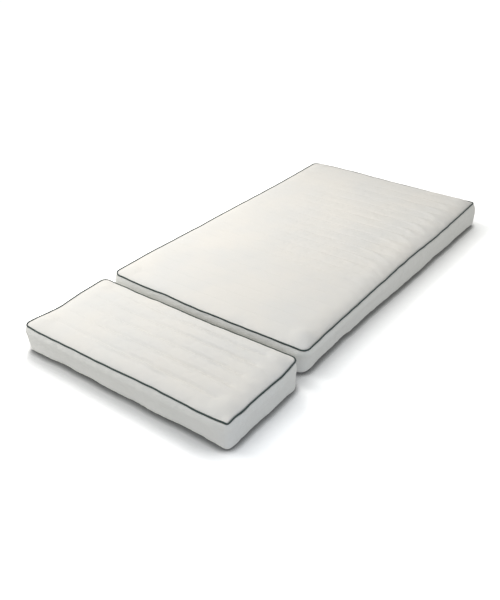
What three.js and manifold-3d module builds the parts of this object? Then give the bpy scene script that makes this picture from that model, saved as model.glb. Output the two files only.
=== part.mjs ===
// A child's mattress in two sections: a long main section and a short extension that lies
// across its near end. Each section is a foam core with a comfort layer on it, inside a
// removable cover. The cover is a quilted top panel, an upright side border and a base
// panel, with a piping cord in the top seam and a zip in the border's left side.
// Millimetres, +Z up. The origin is the middle of the main section's underside. +Y runs
// along the mattress away from the extension, and the zips are on the -X side.

import * as THREE from "three";
import { mergeVertices } from "three/addons/utils/BufferGeometryUtils.js";
import Module from "manifold-3d";

const wasm = await Module();
wasm.setup();

// The two sections and how they lie
const mattressWidth = 700;
const mainLength = 1100;
const extensionLength = 300;
const sectionGap = 28;
const extensionShift = 17;
const seatGap = 0.3;

// Heights and thicknesses of the layers
const seamHeight = 88;
const crownLift = 14;
const comfortThickness = 14;
const basePanelThickness = 4;

// Side border
const cornerRadius = 34;
const borderWall = 4;
const bellyDrop = 32;
const shoulderDrop = 12;
const shoulderInset = 0.8;
const shoulderPullShare = 0.45;
const bottomRadius = 14;
const bottomTuck = 20;
const seamDrawIn = 4;
const sideSegments = { right: 12, far: 8, left: 12, near: 8 };
const shortSideSegments = 4;
const cornerSegments = 5;

// Top seam and its piping
const seamInset = 2.4;
const beadRadius = 2.2;
const beadSides = 7;
const flangeThickness = 1;
const seamAllowance = 9;
const turningThickness = 1.4;

// Quilted top panel
const channelPitch = 50;
const rowsPerChannel = 3;
const quiltDepth = 5.5;
const rimHeight = 1.6;
const rollWidth = 62;
const rollPower = 2.4;
const seamStop = 52;
const seamFade = 26;
const edgeColumns = [8, 26];
const middleColumns = 5;
const quiltCornerRows = 3;

// Foam and comfort layer
const coverSlack = 3;
const foamEdgeRadius = 14;
const comfortEdgeRadius = 5;
const softEdgeSegments = 2;
const cornerCurveSegments = 3;

// Zip
const zipHeight = 38;
const mainZipMargin = 80;
const extensionZipMargin = 45;
const slotHalfHeight = 10;
const cutOverrun = 5;
const tapeHalfWidth = 14;
const tapeThickness = 1;
const tapeLap = 8;
const chainHalfWidth = 3;
const chainDepth = 2.4;
const stopLength = 3;
const stopDepth = 1.4;
const sliderLength = 11;
const sliderNoseHalfWidth = 4.8;
const sliderTailHalfWidth = 3.8;
const sliderDepth = 0.1;
const bailLength = 8;
const bailHeight = 3.6;
const bailBar = 1.3;
const bailWidth = 2.2;
const pullThickness = 1.1;
const pullLength = 25;
const pullHalfWidth = 3.6;
const pullTipHalfWidth = 2.7;
const pullBar = 1.1;
const pullWindowHalfWidth = 1.6;
const pullWindowLength = 5.2;

const sections = {
  main: {
    width: mattressWidth,
    length: mainLength,
    zipLength: mainLength - 2 * mainZipMargin,
  },
  extension: {
    width: mattressWidth,
    length: extensionLength,
    zipLength: extensionLength - 2 * extensionZipMargin,
  },
};

// Heights worked out from the top seam and the stack of layers
const crownHeight = seamHeight + crownLift;
const bellyTop = seamHeight - bellyDrop;
const shoulderHeight = seamHeight - shoulderDrop;
const borderTop = seamHeight - flangeThickness / 2 - seatGap;
const quiltUnderside = seamHeight + flangeThickness / 2 + seatGap;
const comfortTop = quiltUnderside - seatGap;
const foamTop = comfortTop - comfortThickness - seatGap;
const foamBottom = basePanelThickness + seatGap;
const seatRadius = beadRadius + seatGap;
const seatReach = Math.sqrt(seatRadius ** 2 - (borderTop - seamHeight) ** 2);

const finishes = {
  quilt: { color: 0xf3f2ec, roughness: 0.9, metalness: 0 },
  border: { color: 0xe9ecec, roughness: 0.9, metalness: 0 },
  base: { color: 0xeeeeea, roughness: 0.95, metalness: 0 },
  piping: { color: 0x2f403d, roughness: 0.75, metalness: 0 },
  foam: { color: 0xf0e4c4, roughness: 1, metalness: 0 },
  wadding: { color: 0xfafafa, roughness: 1, metalness: 0 },
  zipTape: { color: 0xe8e8e4, roughness: 0.85, metalness: 0 },
  zipChain: { color: 0xd8d8d4, roughness: 0.5, metalness: 0 },
  zipMetal: { color: 0xb4b6b8, roughness: 0.35, metalness: 1 },
};

function piece(name, geometry, finish) {
  const mesh = new THREE.Mesh(geometry, new THREE.MeshStandardMaterial(finishes[finish]));
  mesh.name = name;
  return mesh;
}

function bareGeometry(geometry) {
  geometry.deleteAttribute("normal");
  geometry.deleteAttribute("uv");
  return mergeVertices(geometry);
}

function indexedGeometry(positions, indices) {
  const geometry = new THREE.BufferGeometry();
  geometry.setAttribute("position", new THREE.Float32BufferAttribute(positions, 3));
  geometry.setIndex(indices);
  return geometry;
}

function toManifold(geometry) {
  const bare = bareGeometry(geometry);
  const vertProperties = new Float32Array(bare.attributes.position.array);
  const triVerts = new Uint32Array(bare.index.array);
  return new wasm.Manifold(new wasm.Mesh({ numProp: 3, vertProperties, triVerts }));
}

function fromManifold(manifold) {
  const mesh = manifold.getMesh();
  return indexedGeometry(Array.from(mesh.vertProperties), Array.from(mesh.triVerts));
}

function block(low, high) {
  const size = new THREE.Vector3().subVectors(high, low);
  const middle = new THREE.Vector3().addVectors(low, high).multiplyScalar(1 / 2);
  return new THREE.BoxGeometry(size.x, size.y, size.z).translate(middle.x, middle.y, middle.z);
}

// How far the top seam is pulled in at a place along a side, most at the side's middle.
function pullIn(along, halfStraight) {
  const share = THREE.MathUtils.clamp((along / halfStraight + 1) / 2, 0, 1);
  return seamDrawIn * Math.sin(Math.PI * share);
}

// The outline of a section's border seen from above, anticlockwise from the right side's
// near end: places on the upright face, their outward normals, and the top seam's pull.
function outlineFrames(section) {
  const halfX = section.width / 2 - cornerRadius;
  const halfY = section.length / 2 - cornerRadius;
  const isShort = section.length < section.width;
  const sides = [
    { angle: 0, half: halfY, steps: isShort ? shortSideSegments : sideSegments.right },
    { angle: Math.PI / 2, half: halfX, steps: sideSegments.far },
    { angle: Math.PI, half: halfY, steps: isShort ? shortSideSegments : sideSegments.left },
    { angle: 1.5 * Math.PI, half: halfX, steps: sideSegments.near },
  ];
  const frames = [];
  sides.forEach((side, index) => {
    const outward = new THREE.Vector2(Math.round(Math.cos(side.angle)), Math.round(Math.sin(side.angle)));
    const forward = new THREE.Vector2(-outward.y, outward.x);
    const reach = cornerRadius + (index % 2 === 0 ? halfX : halfY);
    for (let step = 0; step < side.steps; step += 1) {
      const along = side.half * ((2 * step) / side.steps - 1);
      const place = outward.clone().multiplyScalar(reach).addScaledVector(forward, along);
      frames.push({ place, outward, pull: pullIn(along, side.half) });
    }
    const corner = outward.clone().multiplyScalar(reach - cornerRadius).addScaledVector(forward, side.half);
    for (let step = 0; step < cornerSegments; step += 1) {
      const angle = side.angle + (Math.PI / 2) * (step / cornerSegments);
      const normal = new THREE.Vector2(Math.cos(angle), Math.sin(angle));
      frames.push({ place: corner.clone().addScaledVector(normal, cornerRadius), outward: normal, pull: 0 });
    }
  });
  return frames;
}

// A closed section carried round the outline. Each of its points has an outward offset, a
// height and the share of the seam's pull that it follows.
function carriedRound(frames, profile) {
  const positions = [];
  const indices = [];
  frames.forEach(({ place, outward, pull }) => {
    profile.forEach(([offset, height, share]) => {
      const point = place.clone().addScaledVector(outward, offset - share * pull);
      positions.push(point.x, point.y, height);
    });
  });
  const count = profile.length;
  frames.forEach((_, frame) => {
    const next = (frame + 1) % frames.length;
    for (let point = 0; point < count; point += 1) {
      const above = (point + 1) % count;
      const [a, b] = [frame * count + point, next * count + point];
      const [c, d] = [next * count + above, frame * count + above];
      indices.push(a, b, c, a, c, d);
    }
  });
  return indexedGeometry(positions, indices);
}

function arcPoints(centreOffset, centreHeight, radius, fromDegrees, toDegrees, steps, share) {
  const points = [];
  for (let step = 0; step <= steps; step += 1) {
    const angle = THREE.MathUtils.degToRad(fromDegrees + ((toDegrees - fromDegrees) * step) / steps);
    points.push([centreOffset + radius * Math.cos(angle), centreHeight + radius * Math.sin(angle), share]);
  }
  return points;
}

// Upright border: tucked under at the bottom, hugging the bead at the top, with the seam
// allowance turned in under the piping's flange, and a slot for the zip in its left side.
function sideBorder(section, frames) {
  const seatEnd = -180 + THREE.MathUtils.radToDeg(Math.asin((seamHeight - borderTop) / seatRadius));
  const turningEnd = -seamInset - seamAllowance;
  const profile = [
    [-bottomTuck, 0, 0],
    ...arcPoints(-bottomRadius, bottomRadius, bottomRadius, -90, 0, 3, 0),
    [0, bellyTop, 0],
    [-shoulderInset, shoulderHeight, shoulderPullShare],
    ...arcPoints(-seamInset, seamHeight, seatRadius, -60, seatEnd, 2, 1),
    [turningEnd, borderTop, 1],
    [turningEnd, borderTop - turningThickness, 1],
    [-seamInset - borderWall, borderTop - turningThickness, 1],
    [-borderWall - shoulderInset, shoulderHeight, shoulderPullShare],
    [-borderWall, bellyTop, 0],
    ...arcPoints(-bottomRadius, bottomRadius, bottomRadius - borderWall, 0, -90, 2, 0),
    [-bottomTuck, borderWall, 0],
  ];
  const face = -section.width / 2;
  const slot = block(
    new THREE.Vector3(face - cutOverrun, -section.zipLength / 2, zipHeight - slotHalfHeight),
    new THREE.Vector3(face + borderWall + cutOverrun, section.zipLength / 2, zipHeight + slotHalfHeight),
  );
  return fromManifold(toManifold(carriedRound(frames, profile)).subtract(toManifold(slot)));
}

// Piping: a cord covered in fabric, with the flange that is sewn into the top seam.
function piping(frames) {
  const halfFlange = flangeThickness / 2;
  const flangeEnd = -seamInset - seamAllowance;
  const turn = 180 - THREE.MathUtils.radToDeg(Math.asin(halfFlange / beadRadius));
  const bead = arcPoints(-seamInset, seamHeight, beadRadius, -turn, turn, beadSides, 1);
  const profile = [[flangeEnd, seamHeight - halfFlange, 1], ...bead, [flangeEnd, seamHeight + halfFlange, 1]];
  return carriedRound(frames, profile);
}

function rollShare(distance) {
  const share = THREE.MathUtils.clamp(distance / rollWidth, 0, 1);
  return 1 - (1 - share) ** rollPower;
}

// Height of the quilted top at a distance from the sides and from the near end.
function quiltTop(section, fromSide, fromNear) {
  const fromEnd = Math.min(fromNear, section.length - fromNear);
  const channels = Math.round(section.length / channelPitch);
  const phase = (fromNear / section.length) * channels;
  const seamShare = Math.abs(phase - Math.round(phase)) * 2;
  const isEndChannel = phase < 1 / 2 || phase > channels - 1 / 2;
  const puffShare = isEndChannel ? 1 : Math.sqrt(1 - (1 - seamShare) ** 2);
  const stitchShare = THREE.MathUtils.clamp((fromSide - seamStop) / seamFade, 0, 1);
  const rim = quiltUnderside + rimHeight;
  const crown = (crownHeight - rim) * rollShare(fromSide) * rollShare(fromEnd);
  return rim + crown - quiltDepth * stitchShare * (1 - puffShare);
}

// Distances of the top panel's rows from the near end, and of its columns from the left.
function quiltRows(section, inset) {
  const radius = cornerRadius - inset;
  const rows = [];
  for (let step = 0; step <= quiltCornerRows; step += 1) {
    rows.push(inset + radius * (1 - Math.cos((Math.PI / 2) * (step / quiltCornerRows))));
  }
  const channels = Math.round(section.length / channelPitch);
  const spacing = section.length / channels / rowsPerChannel;
  const start = cornerRadius + spacing / 4;
  const inner = [];
  for (let row = 1; row < channels * rowsPerChannel; row += 1) {
    const fromNear = row * spacing;
    if (fromNear > start && fromNear < section.length - start) inner.push(fromNear);
  }
  return [...rows, ...inner, ...rows.map((row) => section.length - row).reverse()];
}

function quiltColumns(section, inset) {
  const left = [inset, ...edgeColumns.map((column) => inset + column), seamStop, seamStop + seamFade];
  const start = seamStop + seamFade;
  const span = section.width - 2 * start;
  const middle = [];
  for (let column = 1; column < middleColumns; column += 1) {
    middle.push(start + (span * column) / middleColumns);
  }
  return [...left, ...middle, ...left.map((column) => section.width - column).reverse()];
}

// Quilted top panel: a crowned pad whose seams run across the width and stop short of the
// sides. Its edge follows the drawn-in seam and sits just inside the bead.
function quiltedTop(section) {
  const inset = seamInset + seatReach;
  const radius = cornerRadius - inset;
  const rows = quiltRows(section, inset);
  const columns = quiltColumns(section, inset);
  const halfX = section.width / 2 - cornerRadius;
  const halfY = section.length / 2 - cornerRadius;
  const places = rows.map((fromNear) => {
    const fromEnd = Math.min(fromNear, section.length - fromNear);
    const into = Math.max(cornerRadius - fromEnd, 0);
    const narrowing = radius - Math.sqrt(Math.max(radius ** 2 - into ** 2, 0));
    return columns.map((column) => {
      const halfWidth = section.width / 2 - inset;
      const straightX = (column - section.width / 2) * ((halfWidth - narrowing) / halfWidth);
      const straightY = fromNear - section.length / 2;
      const fromSide = halfWidth - narrowing - Math.abs(straightX);
      const sidePull = pullIn(straightY, halfY) * Math.max(1 - fromSide / rollWidth, 0);
      const endPull = pullIn(straightX, halfX) * Math.max(1 - (fromEnd - inset) / rollWidth, 0);
      const x = straightX - Math.sign(straightX) * sidePull;
      const y = straightY - Math.sign(straightY) * endPull;
      return new THREE.Vector3(x, y, quiltTop(section, fromSide, fromNear));
    });
  });
  return closedPad(places, quiltUnderside);
}

// Closes a grid of top points, given in rows, with a rim and a flat underside.
function closedPad(places, underside) {
  const positions = [];
  const indices = [];
  const width = places[0].length;
  places.flat().forEach((point) => positions.push(point.x, point.y, point.z));
  for (let row = 0; row < places.length - 1; row += 1) {
    for (let column = 0; column < width - 1; column += 1) {
      const a = row * width + column;
      indices.push(a, a + 1, a + width + 1, a, a + width + 1, a + width);
    }
  }
  const last = places.length - 1;
  const rim = [];
  for (let column = 0; column < width - 1; column += 1) rim.push(column);
  for (let row = 0; row < last; row += 1) rim.push(row * width + width - 1);
  for (let column = width - 1; column > 0; column -= 1) rim.push(last * width + column);
  for (let row = last; row > 0; row -= 1) rim.push(row * width);
  const firstLower = positions.length / 3;
  rim.forEach((top) => positions.push(positions[3 * top], positions[3 * top + 1], underside));
  rim.forEach((top, place) => {
    const next = (place + 1) % rim.length;
    indices.push(firstLower + place, firstLower + next, rim[next], firstLower + place, rim[next], top);
  });
  const outline = rim.map((top) => new THREE.Vector2(positions[3 * top], positions[3 * top + 1]));
  THREE.ShapeUtils.triangulateShape(outline, []).forEach(([a, b, c]) => {
    indices.push(firstLower + a, firstLower + c, firstLower + b);
  });
  return indexedGeometry(positions, indices);
}

function roundedRectangle(width, length, radius) {
  const halfX = width / 2 - radius;
  const halfY = length / 2 - radius;
  const shape = new THREE.Shape();
  shape.absarc(halfX, halfY, radius, 0, Math.PI / 2);
  shape.absarc(-halfX, halfY, radius, Math.PI / 2, Math.PI);
  shape.absarc(-halfX, -halfY, radius, Math.PI, 1.5 * Math.PI);
  shape.absarc(halfX, -halfY, radius, 1.5 * Math.PI, 2 * Math.PI);
  return shape;
}

// A flat block of a section's plan, set in from the upright face, with rounded edges.
function layer(section, inset, bottom, top, edgeRadius) {
  const shape = roundedRectangle(section.width - 2 * inset, section.length - 2 * inset, cornerRadius - inset);
  const isRounded = edgeRadius > 0;
  const geometry = new THREE.ExtrudeGeometry(shape, {
    depth: top - bottom - 2 * edgeRadius,
    curveSegments: cornerCurveSegments,
    bevelEnabled: isRounded,
    bevelThickness: edgeRadius,
    bevelSize: edgeRadius,
    bevelOffset: -edgeRadius,
    bevelSegments: softEdgeSegments,
  });
  return bareGeometry(geometry.translate(0, 0, bottom + edgeRadius));
}

function foamCore(section) {
  const inset = borderWall + coverSlack;
  return layer(section, inset, foamBottom, foamTop, foamEdgeRadius);
}

function comfortLayer(section) {
  const inset = seamInset + seamAllowance + seamDrawIn + coverSlack;
  return layer(section, inset, foamTop + seatGap, comfortTop, comfortEdgeRadius);
}

function basePanel(section) {
  return layer(section, bottomTuck + seatGap, 0, basePanelThickness, 0);
}

// Depth is counted inwards from the border's upright face, on the left side.
function leftBlock(section, depths, alongs, heights) {
  const face = -section.width / 2;
  return bareGeometry(block(
    new THREE.Vector3(face + depths[0], alongs[0], heights[0]),
    new THREE.Vector3(face + depths[1], alongs[1], heights[1]),
  ));
}

const tapeFront = borderWall + seatGap;
const tapeBack = tapeFront + tapeThickness;

function zipTape(section, direction) {
  const halfLength = section.zipLength / 2 + tapeLap;
  const edges = [chainHalfWidth + seatGap, tapeHalfWidth].map((edge) => zipHeight + direction * edge);
  const heights = edges.sort((low, high) => low - high);
  return leftBlock(section, [tapeFront, tapeBack], [-halfLength, halfLength], heights);
}

function chainEnd(section) {
  return section.zipLength / 2 - stopLength - 2 * seatGap;
}

function zipChain(section) {
  const end = chainEnd(section);
  const heights = [zipHeight - chainHalfWidth, zipHeight + chainHalfWidth];
  return leftBlock(section, [chainDepth, tapeBack], [-end, end], heights);
}

function zipStop(section, direction) {
  const start = chainEnd(section) + seatGap;
  const alongs = direction > 0 ? [start, start + stopLength] : [-start - stopLength, -start];
  const heights = [zipHeight - chainHalfWidth, zipHeight + chainHalfWidth];
  return leftBlock(section, [stopDepth, tapeBack], alongs, heights);
}

// The slider and pull are drawn flat, x along the zip, y across it and z outwards from the
// slider's back, and then stood up on the border's left side with x towards -Y.
const sliderThickness = chainDepth - seatGap - sliderDepth;

function extruded(points, depth) {
  const shape = new THREE.Shape(points.map(([x, y]) => new THREE.Vector2(x, y)));
  return new THREE.ExtrudeGeometry(shape, { depth, bevelEnabled: false });
}

// Zip slider: a tapered front plate with the arched bail that holds the pull.
function zipSlider() {
  const half = sliderLength / 2;
  const plate = extruded([
    [-half, -sliderNoseHalfWidth],
    [half, -sliderTailHalfWidth],
    [half, sliderTailHalfWidth],
    [-half, sliderNoseHalfWidth],
  ], sliderThickness);
  const outer = bailLength / 2;
  const inner = outer - bailBar;
  const foot = -sliderThickness / 2;
  const bail = extruded([
    [-outer, foot],
    [-inner, foot],
    [-inner, bailHeight - 2 * bailBar],
    [-inner + bailBar, bailHeight - bailBar],
    [inner - bailBar, bailHeight - bailBar],
    [inner, bailHeight - 2 * bailBar],
    [inner, foot],
    [outer, foot],
    [outer, bailHeight - 1.5 * bailBar],
    [inner, bailHeight],
    [-inner, bailHeight],
    [-outer, bailHeight - 1.5 * bailBar],
  ], bailWidth);
  bail.translate(0, 0, -bailWidth / 2).rotateX(Math.PI / 2).translate(0, 0, sliderThickness);
  return fromManifold(toManifold(plate).add(toManifold(bail)));
}

// Zip pull: a flat tab with a window for the bail. The bar at the window's end lies under
// the bail and is what the pull swings on.
function zipPull() {
  const barHalf = pullBar / 2;
  const shape = new THREE.Shape([
    new THREE.Vector2(-barHalf, -pullHalfWidth),
    new THREE.Vector2(pullWindowLength + pullBar, -pullHalfWidth),
    new THREE.Vector2(pullLength, -pullTipHalfWidth),
    new THREE.Vector2(pullLength, pullTipHalfWidth),
    new THREE.Vector2(pullWindowLength + pullBar, pullHalfWidth),
    new THREE.Vector2(-barHalf, pullHalfWidth),
  ]);
  shape.holes.push(new THREE.Path([
    new THREE.Vector2(barHalf, -pullWindowHalfWidth),
    new THREE.Vector2(barHalf, pullWindowHalfWidth),
    new THREE.Vector2(pullWindowLength, pullWindowHalfWidth),
    new THREE.Vector2(pullWindowLength, -pullWindowHalfWidth),
  ]));
  const geometry = new THREE.ExtrudeGeometry(shape, { depth: pullThickness, bevelEnabled: false });
  return bareGeometry(geometry.translate(0, 0, -pullThickness / 2));
}

// Stands a flat-drawn zip piece on the left side, at a place along it and an outward reach.
function onZip(mesh, section, along, outward) {
  const across = new THREE.Vector3(0, 0, 1);
  const opening = new THREE.Vector3(0, -1, 0);
  const outwards = new THREE.Vector3(-1, 0, 0);
  mesh.quaternion.setFromRotationMatrix(new THREE.Matrix4().makeBasis(opening, across, outwards));
  mesh.position.set(-section.width / 2 - outward, along, zipHeight);
  return mesh;
}

const pullPivotHeight = (bailHeight - bailBar) / 2;

function zipPieces(label, section) {
  const closedAt = chainEnd(section) - sliderLength / 2;
  const slider = piece(`${label}_zip_slider`, zipSlider(), "zipMetal");
  const pull = piece(`${label}_zip_pull`, zipPull(), "zipMetal");
  return [
    piece(`${label}_zip_tape_upper`, zipTape(section, 1), "zipTape"),
    piece(`${label}_zip_tape_lower`, zipTape(section, -1), "zipTape"),
    piece(`${label}_zip_chain`, zipChain(section), "zipChain"),
    piece(`${label}_zip_closed_stop`, zipStop(section, 1), "zipMetal"),
    piece(`${label}_zip_open_stop`, zipStop(section, -1), "zipMetal"),
    onZip(slider, section, closedAt, -sliderDepth - sliderThickness),
    onZip(pull, section, closedAt, pullPivotHeight - sliderDepth),
  ];
}

function mattressSection(label, section) {
  const frames = outlineFrames(section);
  const group = new THREE.Group();
  group.add(
    piece(`${label}_base_panel`, basePanel(section), "base"),
    piece(`${label}_foam_core`, foamCore(section), "foam"),
    piece(`${label}_comfort_layer`, comfortLayer(section), "wadding"),
    piece(`${label}_side_border`, sideBorder(section, frames), "border"),
    piece(`${label}_piping`, piping(frames), "piping"),
    piece(`${label}_quilted_top`, quiltedTop(section), "quilt"),
    ...zipPieces(label, section),
  );
  return group;
}

const mattress = new THREE.Group();
const mainSection = mattressSection("main", sections.main);
const extensionSection = mattressSection("extension", sections.extension);
extensionSection.position.x = extensionShift;
extensionSection.position.y = -(mainLength + extensionLength) / 2 - sectionGap;
mattress.add(mainSection, extensionSection);

export default mattress;
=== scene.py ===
import math

import bmesh
import bpy
from mathutils import Matrix, Vector, noise
from mathutils.bvhtree import BVHTree


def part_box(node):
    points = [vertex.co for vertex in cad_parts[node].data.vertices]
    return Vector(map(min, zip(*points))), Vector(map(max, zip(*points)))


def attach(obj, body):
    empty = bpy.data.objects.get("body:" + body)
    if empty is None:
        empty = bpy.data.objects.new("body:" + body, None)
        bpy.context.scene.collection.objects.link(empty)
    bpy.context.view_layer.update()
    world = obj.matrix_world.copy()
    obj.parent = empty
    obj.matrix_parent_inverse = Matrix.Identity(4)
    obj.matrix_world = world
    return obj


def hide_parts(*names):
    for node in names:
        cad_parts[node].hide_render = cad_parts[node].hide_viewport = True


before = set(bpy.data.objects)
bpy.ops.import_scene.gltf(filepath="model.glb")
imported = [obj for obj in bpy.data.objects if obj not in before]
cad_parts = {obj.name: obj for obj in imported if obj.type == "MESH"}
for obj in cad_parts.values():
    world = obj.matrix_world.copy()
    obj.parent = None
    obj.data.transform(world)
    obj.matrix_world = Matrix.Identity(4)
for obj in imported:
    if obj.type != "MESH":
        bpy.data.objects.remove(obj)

scene = bpy.context.scene
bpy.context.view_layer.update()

# Camera. It stands off the extension's near right corner and looks down along the
# mattress, where the photograph was taken from. The photograph is 500 x 600 pixels, and
# its focal length in pixels was found by fitting the corners of the piping.
photo_height_pixels = 600
photo_focal_pixels = 742.5
camera_place = Vector((1.2075, -1.8212, 1.1634))
camera_turn = math.radians(38.782)
camera_dip = math.radians(31.121)
camera_roll = math.radians(-2.186)
camera = bpy.data.objects.new("camera", bpy.data.cameras.new("camera"))
camera.data.sensor_width = 36
camera.data.lens = photo_focal_pixels * camera.data.sensor_width / photo_height_pixels
camera.matrix_world = (
    Matrix.Translation(camera_place)
    @ Matrix.Rotation(camera_turn, 4, "Z")
    @ Matrix.Rotation(math.pi / 2 - camera_dip, 4, "X")
    @ Matrix.Rotation(camera_roll, 4, "Z")
)
scene.collection.objects.link(camera)
scene.camera = camera
scene.view_settings.view_transform = "Standard"

# Studio light. A large soft lamp hangs to the left of the mattress, a weaker one at its near
# left and a faint cool one at its near right, and the white studio round it fills the sides.
# The floor is a white sweep with painted shade where the mattress meets it, darkest at its near left.
studio_light = (0.998, 1.0, 0.983, 1)
studio_strength = 0.54
floor_size = 40
floor_colour = (0.84, 0.84, 0.84, 1)
floor_white = 1.92
# Each lamp: its name, its place, what it points at, its size, its power and its colour.
lamps = (
    ("key", Vector((-0.82, 0.0, 1.2)), Vector((0.0, -0.12, 0.0)), 0.7, 7.8, (1.0, 0.955, 0.9)),
    ("near", Vector((-0.8, -1.15, 1.1)), Vector((-0.1, -0.6, 0.05)), 0.5, 5.1, (1.0, 1.0, 1.0)),
    ("cool", Vector((1.2, -1.2, 0.5)), Vector((0.1, -0.6, 0.05)), 0.5, 0.9, (0.37, 0.59, 1.0)),
)
# The floor's two painted shades: how far each reaches, how dark it gets and which way it leans. A
# painted shade is darkest where the mattress hides half of what is round it.
half_hidden = 0.5
painted_contact_shades = (
    (0.081, 0.35, Vector((0.3, 0.18, 1.0)).normalized()),
    (0.017, 0.42, Vector((0.0, 0.0, 1.0))),
)


def set_inputs(tree, node, inputs):
    """Joins or fills inputs of a shader node."""
    for socket, value in inputs.items():
        if isinstance(value, bpy.types.NodeSocket):
            tree.links.new(value, node.inputs[socket])
        else:
            node.inputs[socket].default_value = value


def add_node(tree, kind, inputs=None, **settings):
    """Adds a shader node, sets it and joins or fills its inputs."""
    made = tree.nodes.new(kind)
    for setting, value in settings.items():
        setattr(made, setting, value)
    set_inputs(tree, made, inputs or {})
    return made


def add_math(tree, operation, first, second):
    """Adds a node that works one value out of two."""
    return add_node(tree, "ShaderNodeMath", {0: first, 1: second}, operation=operation).outputs[0]


def white_to_the_eye(tree):
    """1 where a ray shows the background: straight on, in a gloss or through glass."""
    path = add_node(tree, "ShaderNodeLightPath").outputs
    gloss = add_math(tree, "MAXIMUM", path["Is Camera Ray"], path["Is Glossy Ray"])
    return add_math(tree, "MAXIMUM", gloss, path["Is Transmission Ray"])


world = bpy.data.worlds.new("studio")
world.use_nodes = True
scene.world = world
studio_tree = world.node_tree
fill = studio_tree.nodes["Background"]
set_inputs(studio_tree, fill, {"Color": studio_light, "Strength": studio_strength})
backdrop = add_node(studio_tree, "ShaderNodeBackground", {"Color": (1, 1, 1, 1)})
surround = add_node(
    studio_tree, "ShaderNodeMixShader",
    {0: white_to_the_eye(studio_tree), 1: fill.outputs[0], 2: backdrop.outputs[0]},
)
studio_tree.links.new(surround.outputs[0], studio_tree.nodes["World Output"].inputs["Surface"])

for name, place, target, size, power, colour in lamps:
    lamp = bpy.data.objects.new(f"{name}_lamp", bpy.data.lights.new(f"{name}_lamp", "AREA"))
    lamp.data.size = size
    lamp.data.energy = power
    lamp.data.color = colour
    aim = (target - place).to_track_quat("-Z", "Y").to_matrix().to_4x4()
    lamp.matrix_world = Matrix.Translation(place) @ aim
    scene.collection.objects.link(lamp)

sweep = bmesh.new()
bmesh.ops.create_grid(sweep, x_segments=1, y_segments=1, size=floor_size / 2)
floor_mesh = bpy.data.meshes.new("floor")
sweep.to_mesh(floor_mesh)
sweep.free()
floor = bpy.data.objects.new("floor", floor_mesh)
scene.collection.objects.link(floor)
floor_finish = bpy.data.materials.new("white_sweep_painted_shade")
floor_finish.use_nodes = True
floor_tree = floor_finish.node_tree
floor_tree.nodes.clear()
shaded = add_node(floor_tree, "ShaderNodeValue").outputs[0]
shaded.default_value = floor_white
# Painted shade: each one darkens the floor's colour as the camera sees it, by how much of the floor's
# surroundings the mattress hides.
for reach, darkest, lean in painted_contact_shades:
    normal = add_node(floor_tree, "ShaderNodeCombineXYZ", dict(enumerate(lean)))
    contact = add_node(
        floor_tree, "ShaderNodeAmbientOcclusion", {"Distance": reach, "Normal": normal.outputs[0]}, samples=12
    )
    shade = add_node(
        floor_tree, "ShaderNodeMapRange",
        {"Value": contact.outputs["AO"], "From Min": half_hidden, "To Min": darkest},
    )
    shaded = add_math(floor_tree, "MULTIPLY", shaded, shade.outputs[0])
lit = add_node(floor_tree, "ShaderNodeBsdfDiffuse", {"Color": floor_colour})
seen = add_node(floor_tree, "ShaderNodeBsdfDiffuse", {"Color": shaded})
both = add_node(
    floor_tree, "ShaderNodeMixShader",
    {0: white_to_the_eye(floor_tree), 1: lit.outputs[0], 2: seen.outputs[0]},
)
add_node(floor_tree, "ShaderNodeOutputMaterial", {"Surface": both.outputs[0]})
floor_mesh.materials.append(floor_finish)

# Cover seams. Each section's cover is sewn round one rounded outline. The top seam strays
# a few millimetres from straight, because the soft filling pulls it, and each corner has
# its own roundness: the extension's near right corner is stitched to a sharp point.
mm = 0.001
corner_zone = 34 * mm
corner_rows = 6
cloth_step = 6.25 * mm
settling_frames = 22
channel_pitch = 50 * mm
sway_fade = 120 * mm
sections = ("main", "extension")
outer = {name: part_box(f"{name}_side_border") for name in sections}
seam_inset = 5 * mm
seam_ripple = 1.4 * mm
ripple_pitch = 42 * mm
# How round each corner is, left and right, along the seam and along the border's middle.
seam_radii = {
    "main": {"near": (26 * mm, 16 * mm), "far": (16 * mm, 6 * mm)},
    "extension": {"near": (13 * mm, 3 * mm), "far": (15 * mm, 18 * mm)},
}
belly_radii = {
    "main": {"near": (32 * mm, 31 * mm), "far": (30 * mm, 24 * mm)},
    "extension": {"near": (10 * mm, 14 * mm), "far": (32 * mm, 34 * mm)},
}
# How far each side strays outwards from straight, in millimetres, at even steps towards +X or +Y.
seam_sways = {
    "main": {
        "near": (-3, -2, 1, 3, 1, 6, 8, 7, 8, 8, 7, 7, 7),
        "right": (15, 10, 6, 3, 0, -4, -4, -2, -5, -8, -11),
        "far": (6, 9, 7, 2, -4, -8, -12, -14, -17),
        "left": (-4, -4, -5, -8, -9, -11, -13, -12, -8),
    },
    "extension": {
        "near": (8, 10, 10, 10, 9, 10, 9, 7, 7, 8, 8, 9, 7),
        "right": (14, 9, 10, 8, 7, 7, 7, 6, 4, 0, -1),
        "far": (0, -2, -4, -6, -5, -7, -9, -10, -9, -8, -8, -8, -7),
        "left": (1, 0, -5, -8, -4, 2, 5, 7, 9),
    },
}
belly_sways = {
    "main": {
        "near": (0, -1, -2, -2, -2, -2, -2, -1, 0), "right": (0, -7, -7, -5, -5, -5, -7),
        "far": (0, -2, -7), "left": (0, 0),
    },
    "extension": {
        "near": (0, -3, -2, -2, -2), "right": (2, 1, 0, -1),
        "far": (-5, -8, -10, -10, -10, -10, -8, -5), "left": (8, 0, 0, 0, 0, 0, 0, 0, 0, 0),
    },
}


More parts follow.
